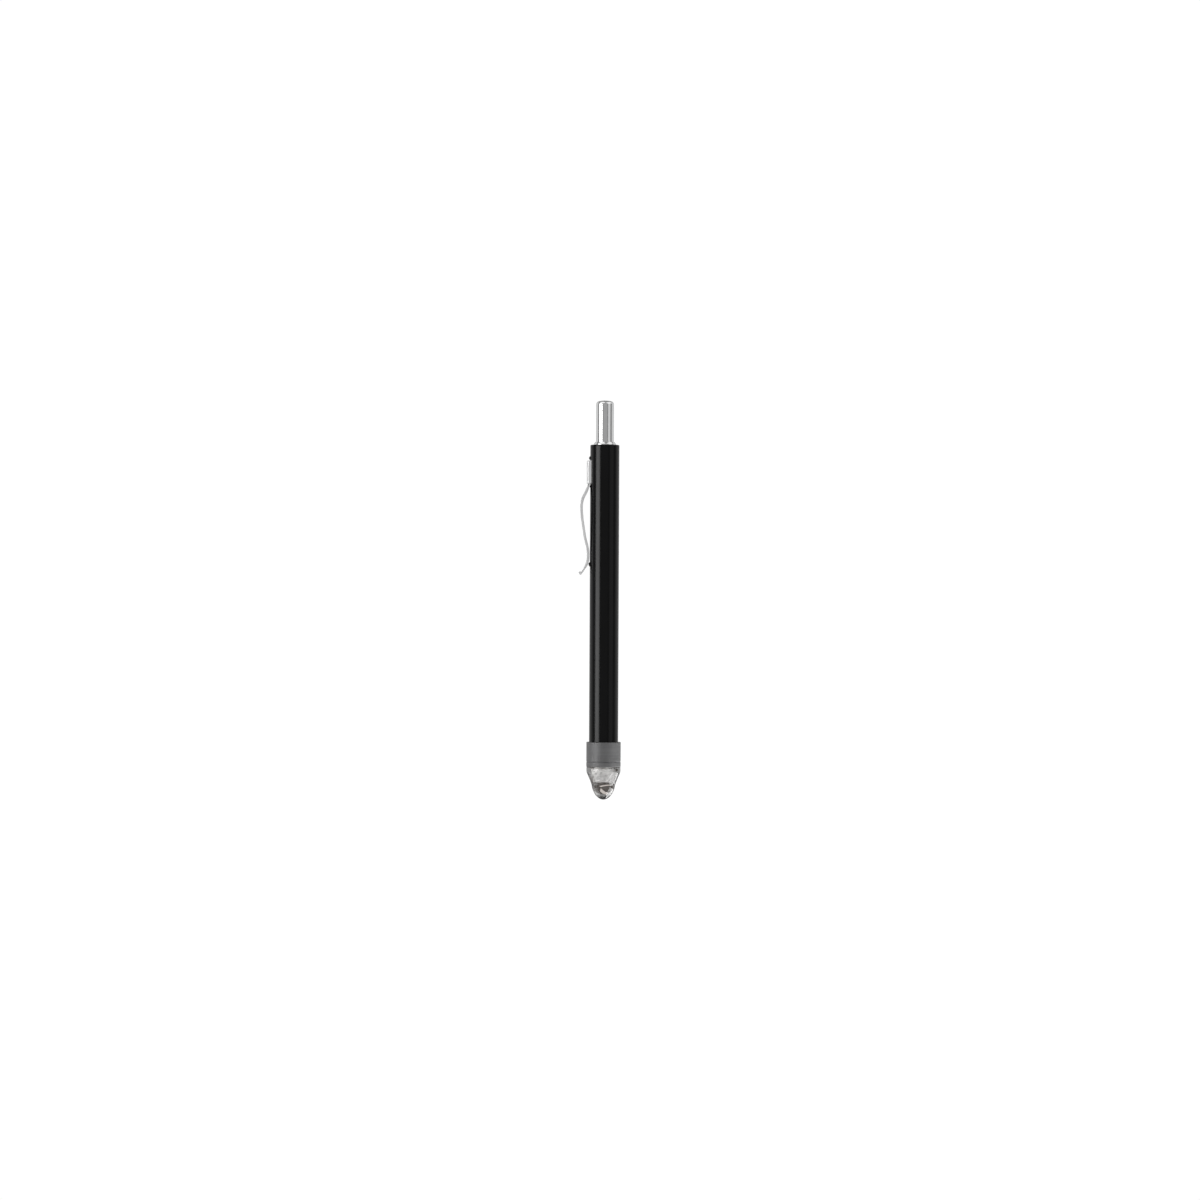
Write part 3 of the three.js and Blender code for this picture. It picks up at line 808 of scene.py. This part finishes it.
def build_button():
    """The drawn cap with its foot flange, the contact rod inside it and the return spring."""
    bore_r = BUTTON_R - 0.5
    top = BUTTON_HIGH
    flange_top = BUTTON_LOW + 0.7
    crown_r = 1.1
    flange_r = 3.9
    foot = [(bore_r, BUTTON_LOW), (flange_r, BUTTON_LOW), (flange_r, flange_top),
            (BUTTON_R + 0.15, flange_top)]
    cap = softened(foot, 0.12)
    cap += [(BUTTON_R, flange_top + 0.15), (BUTTON_R, top - 6)]
    cap += arc(BUTTON_R - crown_r, top - 1.35, crown_r, 0, 66, 10)
    cap += [(1.9, top - 0.2), (1.3, top - 0.08), (0.6, top), (0, top)]
    cap += [(0, top - 0.8), (1.3, top - 0.95), (bore_r - 0.15, top - 1.6), (bore_r, top - 1.8)]
    place(turned("button_cap", cap), "button", "bright_chrome", "push_button")

    rod_low, rod_high = levels("contact_rod")
    rod = [(0, rod_low), (0.4, rod_low), (0.8, rod_low + 0.4), (0.8, rod_high - 0.7),
           (bore_r - 0.06, rod_high - 0.7), (bore_r - 0.06, rod_high), (0, rod_high)]
    place(turned("rod", softened(rod, 0.1), MEDIUM), "button", "yellow_brass", "contact_rod")

    low, high = levels("button_spring")
    wire_r = 0.2
    turns = 11
    rise = spring_rise(low + wire_r, high - wire_r, 1.2, turns)
    spring = helix("return_spring", wire_r, lambda t: 2.05, rise, turns)
    place_spring(spring, "button_spring")


def build_tail():
    """The button's guide bushing, the switch housing and its contact plate."""
    low, high = levels("tail_bushing")
    inner = BUTTON_R + 0.1
    lip_z = TUBE_HIGH - 0.85
    bushing = [(inner, low), (TUBE_BORE_R - 0.05, low), (TUBE_BORE_R - 0.05, lip_z),
               (3.82, lip_z), (3.82, TUBE_HIGH + 0.3), (inner + 0.2, high), (inner, high)]
    place(turned("guide_bushing", softened(bushing, 0.1)), "tube", "bright_chrome",
          "tail_bushing")

    low, high = levels("switch_housing")
    plate_low, plate_high = levels("contact_plate")
    pocket = plate_low + 0.45
    rim = TUBE_BORE_R - 0.06
    housing = [(3.85, low), (rim, low), (rim, high - 0.3), (rim - 0.3, high), (1.15, high),
               (1.15, pocket), (3.85, pocket)]
    place(turned("switch_body", softened(housing, 0.1)), "tube", "black_plastic",
          "switch_housing")
    plate = [(0, plate_low), (3.75, plate_low), (3.75, plate_low + 0.4), (0.95, plate_low + 0.4),
             (0.95, plate_high - 0.15), (0.6, plate_high), (0, plate_high)]
    place(turned("stud_plate", softened(plate, 0.08), MEDIUM), "tube", "yellow_brass",
          "contact_plate")


def build_cells():
    """Two cells in line, each a wrapped can, a washer and a terminal, and the conical spring."""
    for cell in ("front_cell", "rear_cell"):
        low, high = levels(cell + "_can")
        can_r = outer_radius(cell + "_can")
        can = [(0, low + 0.4), (3.5, low + 0.4), (3.5, low), (can_r - 0.25, low),
               (can_r, low + 0.25), (can_r, high - 0.2), (can_r - 0.2, high), (0, high)]
        place(turned(cell + "_wrap", softened(can, 0.15)), "cells", "cell_wrap", cell + "_can")
        low, high = levels(cell + "_washer")
        washer = [(1.85, low), (3.4, low), (3.4, high), (1.85, high)]
        place(turned(cell + "_ring", softened(washer, 0.05), MEDIUM), "cells", "cell_washer",
              cell + "_washer")
        low, high = levels(cell + "_terminal")
        cap = [(0, low), (1.3, low), (1.5, low + 0.2), (1.5, high - 0.25), (1.75, high - 0.25),
               (1.75, high), (0, high)]
        place(turned(cell + "_cap", softened(cap, 0.1), MEDIUM), "cells", "tin_plate",
              cell + "_terminal")
    low, high = levels("tail_spring")
    wire_r = 0.22
    turns = 4.5
    rise = spring_rise(low + wire_r, high - wire_r, 0.8, turns)
    spring = helix("battery_spring", wire_r, lambda t: 3.0 - 0.5 * t, rise, turns)
    place_spring(spring, "tail_spring")


# ------------------------------------------------------------------------ head


def build_collar():
    """The collar with its groove outside, and its thread and the lens's snap groove inside."""
    edge = 0.2
    spigot_r = 5.05
    groove_z = 13.0
    snap_r = 5.32
    outer = [(spigot_r, COLLAR_LOW), (COLLAR_R - edge, COLLAR_LOW)]
    outer += arc(COLLAR_R - edge, COLLAR_LOW + edge, edge, -75, 0, 5)
    outer += [(COLLAR_R, groove_z - 0.18), (COLLAR_R - 0.13, groove_z - 0.05)]
    outer += [(COLLAR_R - 0.13, groove_z + 0.05), (COLLAR_R, groove_z + 0.18)]
    outer += arc(COLLAR_R - edge, COLLAR_HIGH - edge, edge, 0, 90, 5)
    thread_low = 14.05
    inner = [(FEMALE_ROOT_R + 0.12, COLLAR_HIGH), (FEMALE_ROOT_R, COLLAR_HIGH - 0.12)]
    rows = steps_between(thread_low + 0.1, COLLAR_HIGH - 0.3, THREAD_STEP)
    inner += [(FEMALE_ROOT_R, z) for z in reversed(rows)]
    inner += [(FEMALE_ROOT_R, thread_low), (spigot_r, thread_low - 0.15), (spigot_r, 13.75)]
    inner += [(snap_r, 13.6), (snap_r, 12.9), (spigot_r, 12.75)]

    def threaded(r, z, angle):
        """Lets ridges stand in from the bore, halfway between those of the tube."""
        if not (abs(r - FEMALE_ROOT_R) < 1e-6 and thread_low < z < COLLAR_HIGH - 0.2):
            return r
        height = thread_height(z, angle, THREAD_START + THREAD_PITCH / 2, THREAD_TURNS - 0.45)
        return r - (FEMALE_ROOT_R - FEMALE_CREST_R) * height

    place(turned("collar", outer + inner, FINE, threaded), "head", "gunmetal", "head_collar")


def bullet(radius, top, low, power, points=18):
    """The blunt nose's outline from its small flat up to where it leaves the cone."""
    rows = []
    for i in range(points):
        share = (i + 0.15) / (points - 1 + 0.15)
        z = low + (top - low) * share**1.6
        rise = (top - z) / (top - low)
        rows.append((radius * math.sqrt(max(0.0, 1 - rise**power)), z))
    return rows


def build_lens():
    """The clear nose: a solid bullet, a hollow cone and skirt, and the spigot that snaps in."""
    spigot_r = 5.0
    rim = COLLAR_LOW - 0.05
    bore = 4.3
    nose = bullet(4.0, 4.9, LENS_LOW, 1.55)
    outer = [(0, LENS_LOW), (0.3, LENS_LOW)] + nose
    outer += [(4.2, 5.55), (4.45, 6.25), (5.3, 8.25), (5.55, 8.8), (5.76, 9.35), (5.85, 9.8)]
    outer += [(LENS_R, 10.1), (LENS_R, rim - 0.15), (LENS_R - 0.15, rim), (spigot_r, rim)]
    outer += [(spigot_r, 12.95), (5.22, 13.1), (5.22, 13.4), (spigot_r, 13.55)]
    outer += [(spigot_r, LENS_HIGH - 0.1), (spigot_r - 0.1, LENS_HIGH), (bore, LENS_HIGH)]
    inner = [(bore, 8.9), (4.26, 8.62), (3.66, 6.3), (3.6, 6.05), (3.45, 5.87)]
    # The bullet is solid. Its inner face is slightly domed towards the lamp.
    dome_r = 22.0
    dome_top = 6.05
    inner += [(r, dome_top - dome_r + math.sqrt(dome_r**2 - r**2)) for r in (3.1, 2.2, 1.4, 0.7, 0)]
    place(turned("lens", outer + inner, FINE), "head", "clear_plastic", "nose_lens")


def build_reflector():
    """The fluted cone behind the lens, hollowed by a bowl with a hole for the lamp."""
    low, high = levels("reflector")
    hole_r = 1.75
    mouth_r = 3.0
    bowl_top = high - 0.35
    body_r = outer_radius("reflector")
    foot_r = 3.46
    shoulder = 8.75
    outer = [(mouth_r + 0.06, low), (foot_r - 0.04, low + 0.02), (foot_r, low + 0.1)]
    rows = steps_between(low + 0.25, shoulder - 0.15, 0.15)
    slope = (body_r - foot_r) / (shoulder - low)
    outer += [(foot_r + slope * (z - low), z) for z in rows]
    outer += [(body_r, z) for z in steps_between(shoulder + 0.1, high - 0.2, 0.15)]
    outer += [(body_r, high - 0.1), (body_r - 0.1, high)]
    bowl = []
    steps = 24
    for i in range(steps + 1):
        r = hole_r + (mouth_r - hole_r) * i / steps
        rise = (mouth_r**2 - r**2) / (mouth_r**2 - hole_r**2)
        bowl.append((r, low + 0.04 + (bowl_top - low) * rise))
    outline = outer + [(hole_r + 0.05, high), (hole_r, high - 0.05)] + bowl

    def fluted(r, z, angle):
        """Shallow slanting flutes pressed into the outside, which fade out at both ends."""
        outside = r > mouth_r + 0.2 and low + 0.15 < z < high - 0.15
        if not outside:
            return r
        fade = smooth_step((z - low) / 0.8) * smooth_step((high - z) / 0.5)
        return r - 0.18 * fade * (1 + math.cos(5 * angle - 1.5 * (z - low) - 1.4))

    place(turned("reflector_cup", outline, FINE, fluted), "head", "polished_nickel", "reflector")


def build_holder():
    """The brass ring that carries the lamp."""
    low, high = levels("lamp_holder")
    hub_r = 4.25
    bore = 2.05
    holder = [(bore, low), (hub_r, low), (hub_r, high - 0.45), (4.95, high - 0.45), (4.95, high),
              (bore, high)]
    place(turned("holder_ring", softened(holder, 0.08)), "head", "yellow_brass", "lamp_holder")


def build_lamp():
    """The lens-end lamp: envelope, flanged shell, insulator, contact, bead, leads and coil."""
    low, high = levels("lamp_glass")
    tip_r = 1.5
    wall = 0.22
    outer = [(0, low)] + arc(0, low + tip_r, tip_r, -82, 0, 12)
    outer += [(tip_r, 10.2), (1.46, 10.45), (1.38, 10.75), (1.35, 11.0), (1.35, high)]
    inner = [(1.35 - wall, high), (1.35 - wall, 11.0), (1.2, 10.6), (tip_r - wall, 10.2)]
    inner += [(tip_r - wall, 8.1)] + arc(0, 8.35, 1.1, -8, -80, 8)[1:] + [(0, 7.25)]
    place(turned("lamp_envelope", outer + inner, MEDIUM), "head", "lamp_glass", "lamp_glass")

    low, high = levels("lamp_base")
    base = [(1.6, low), (2.6, low), (2.6, low + 0.4), (1.9, low + 0.4), (1.9, high),
            (1.65, high), (1.65, low + 0.6)]
    place(turned("lamp_shell", softened(base, 0.08), MEDIUM), "head", "polished_nickel",
          "lamp_base")
    low, high = levels("lamp_insulator")
    disc = [(0, low), (1.85, low), (1.85, high), (0, high)]
    place(turned("lamp_disc", softened(disc, 0.08), MEDIUM), "head", "black_plastic",
          "lamp_insulator")
    low, high = levels("lamp_contact")
    solder = [(0, low), (1.0, low)] + arc(0.2, low + 0.1, 0.78, 0, 80, 8) + [(0, high)]
    place(turned("lamp_solder", solder, MEDIUM), "head", "tin_plate", "lamp_contact")
    low, high = levels("lamp_bead")
    bead = [(0, low), (0.75, low), (0.9, low + 0.2), (0.9, high - 0.2), (0.75, high), (0, high)]
    place(turned("lamp_stem", softened(bead, 0.15), MEDIUM), "head", "bead_glass", "lamp_bead")
    for side, node in ((-1, "lamp_lead_left"), (1, "lamp_lead_right")):
        low, high = levels(node)
        wire = [(0, low), (0.08, low), (0.12, low + 0.05), (0.12, high), (0, high)]
        lead = turned(node + "_wire", wire, 16)
        lead.data.transform(Matrix.Translation((side * 0.5 * MM, 0, 0)))
        place(lead, "head", "polished_nickel", node)
    coil = helix("lamp_coil", 0.03, lambda t: 0.1, lambda t: -0.36 + 0.72 * t, 9, 8, 20)
    coil.data.transform(sideways(levels("lamp_filament")[0] + 0.15))
    place(coil, "head", "tungsten", "lamp_filament")


build_barrel()
build_seal()
build_saddle()
build_clip()
build_button()
build_tail()
build_cells()
build_collar()
build_lens()
build_reflector()
build_holder()
build_lamp()

# ------------------------------------------------------------------------ stage, light, camera


def plain(name, colour, glow):
    """A matt stage material of one colour, or a black one that glows in that colour."""
    material = bpy.data.materials.new(name)
    material.use_nodes = True
    shader = material.node_tree.nodes["Principled BSDF"]
    shader.inputs["Base Color"].default_value = (0, 0, 0, 1) if glow else (*colour, 1)
    shader.inputs["Roughness"].default_value = 0.9
    shader.inputs["Specular IOR Level"].default_value = 0
    shader.inputs["Emission Color"].default_value = (*colour, 1)
    shader.inputs["Emission Strength"].default_value = glow
    return material


def show_only(piece, ray):
    """Hides a stage piece from all rays but one kind. It casts no shadow."""
    for kind in ("camera", "glossy", "diffuse", "transmission"):
        setattr(piece, "visible_" + kind, kind == ray)
    piece.visible_shadow = False


def build_stage():
    """A white round cove well away from the pen: a flat floor that curves up into a wall.

    Its outline is in metres. Only the camera sees it, so it doesn't light the pen.
    """
    floor_z = -0.9
    radius = 3.4
    bend = 1.2
    outline = [(0, floor_z), (radius - bend, floor_z)]
    outline += arc(radius - bend, floor_z + bend, bend, -90, 0, 16)[1:]
    outline += arc(radius - bend, 1.4, bend, 0, 90, 16) + [(0, 1.4 + bend)]
    verts = []
    faces = []
    segments = 96
    for r, z in outline[1:-1]:
        for i in range(segments):
            angle = 2 * math.pi * i / segments
            verts.append((r * math.cos(angle) / MM, r * math.sin(angle) / MM, z / MM))
    rows = len(outline) - 2
    for row in range(rows - 1):
        for i in range(segments):
            j = (i + 1) % segments
            faces.append([row * segments + i, row * segments + j,
                          (row + 1) * segments + j, (row + 1) * segments + i])
    faces.append(list(range(segments)))
    faces.append([(rows - 1) * segments + i for i in range(segments)])
    cove = new_object("cove", verts, faces)
    cove.data.materials.append(plain("cove_white", (1.0, 1.0, 1.0), 1.02))
    show_only(cove, "camera")


def build_world():
    """A dim even light from all sides."""
    world = bpy.data.worlds.new("studio")
    bpy.context.scene.world = world
    world.use_nodes = True
    background = world.node_tree.nodes["Background"]
    background.inputs["Color"].default_value = (1, 1, 1, 1)
    background.inputs["Strength"].default_value = 0.24


# Soft boxes: azimuths, radiance, height in metres and elevation. Angles are in degrees, and
# azimuths are counted from the camera's side, positive to the right.
OUTER_LIGHTS = {
    "key": ((-72, -39), 5.2, 0.38, 0),
    "front": ((-24, 28), 0.13, 1.6, 0),
    "fill": ((41, 74), 0.42, 1.2, 0),
    "top_left": ((-75, -25), 0.8, 0.8, 55),
    "top_right": ((35, 95), 0.7, 0.8, 45),
    "low_left": ((-125, -75), 1.6, 0.8, -45),
    "low_right": ((75, 135), 5.2, 0.8, -45),
    "side_left": ((-150, -100), 0.42, 1.6, 0),
    "side_right": ((100, 150), 0.4, 1.6, 0),
    "table_bounce": ((-60, 60), 0.45, 0.7, -42),
    "rear": ((155, 205), 0.4, 1.6, 0),
}
SEEN_THROUGH_NOSE = ("front", "top_left", "top_right", "table_bounce")
# These reach only what lies behind the clear nose.
NOSE_LIGHTS = {
    "nose_key": ((-110, -30), 1.4, 0.8, 0),
    "nose_light": ((30, 52), 2.0, 1.2, 0),
}


def build_lights():
    """All soft boxes. Most are hidden from rays that pass through the clear nose."""
    for name, row in OUTER_LIGHTS.items():
        softbox(name, *row).visible_transmission = name in SEEN_THROUGH_NOSE
    for name, row in NOSE_LIGHTS.items():
        lamp = softbox(name, *row)
        lamp.visible_glossy = False
        lamp.visible_diffuse = False


def softbox(name, azimuths, radiance, height, elevation):
    """A soft box 1 m from the pen's middle, which spans these azimuths as seen from there."""
    low, high = (math.radians(angle) for angle in azimuths)
    azimuth = (low + high) / 2
    lift = math.radians(elevation)
    width = 2 * math.tan((high - low) / 2)
    light = bpy.data.lights.new(name, "AREA")
    light.shape = "RECTANGLE"
    light.size = width
    light.size_y = height
    light.energy = radiance * math.pi * width * height
    lamp = bpy.data.objects.new(name, light)
    bpy.context.scene.collection.objects.link(lamp)
    level = math.cos(lift)
    lamp.location = BODY_CENTRE + Vector(
        (level * math.sin(azimuth), -level * math.cos(azimuth), math.sin(lift)))
    lamp.rotation_euler = (BODY_CENTRE - lamp.location).to_track_quat("-Z", "Y").to_euler()
    lamp.visible_camera = False
    return lamp


def build_flag():
    """A bowed dark card close behind the clear bullet, with a slanting pale strip before it.

    Both are seen only through the clear nose. The dark card is painted shade that darkens the
    bullet, and the glowing strip is a painted glint that gives the bullet its slanting glint.
    """
    radius = 12.0
    bottom = -30.0
    half_span = 105
    steps = 40
    verts = []
    for i in range(steps + 1):
        turn = math.radians(-half_span + 2 * half_span * i / steps)
        aside = abs(math.degrees(turn))
        top = 8.4 + 0.8 * math.sin(turn) + 1.2 * smooth_step((aside - 25) / 30)
        across, back = radius * math.sin(turn), radius * math.cos(turn)
        verts += [(across, back, bottom), (across, back, top)]
    faces = [[2 * i, 2 * i + 2, 2 * i + 3, 2 * i + 1] for i in range(steps)]
    card = new_object("painted_shade_card", verts, faces)
    # The card's near-black colour is painted shade, seen only through the clear nose.
    card.data.materials.append(plain("painted_shade_black", (0.06, 0.047, 0.039), 0.0))
    low_end, high_end = Vector((1.2, 11.3, 6.2)), Vector((-2.6, 10.7, 8.2))
    half_width = Vector((0.33, 0.0, 0.45))
    corners = [low_end - half_width, low_end + half_width, high_end + half_width,
               high_end - half_width]
    strip = new_object("painted_glint_strip", [tuple(corner) for corner in corners], [[0, 1, 2, 3]])
    # The strip's glow is a painted glint, seen only through the clear nose; it is no lamp.
    strip.data.materials.append(plain("painted_glint_glow", (1.0, 0.92, 0.87), 0.55))
    show_only(card, "transmission")
    show_only(strip, "transmission")


def build_camera():
    """A level camera straight in front, with the pen slightly off the frame's middle."""
    view_width = 0.4123  # metres across the frame at the pen
    distance = 1.4
    sensor = 36.0
    roll = math.radians(0.26)
    data = bpy.data.cameras.new("camera")
    data.sensor_width = sensor
    data.lens = sensor * distance / view_width
    data.clip_start = 0.05
    data.clip_end = 20
    data.shift_x = -4.2 / 1200
    camera = bpy.data.objects.new("camera", data)
    bpy.context.scene.collection.objects.link(camera)
    camera.location = BODY_CENTRE + Vector((0, -distance, 0))
    camera.rotation_euler = (math.radians(90), -roll, 0)
    bpy.context.scene.camera = camera


build_stage()
build_world()
build_flag()
build_lights()
build_camera()
bpy.context.scene.view_settings.view_transform = "Standard"
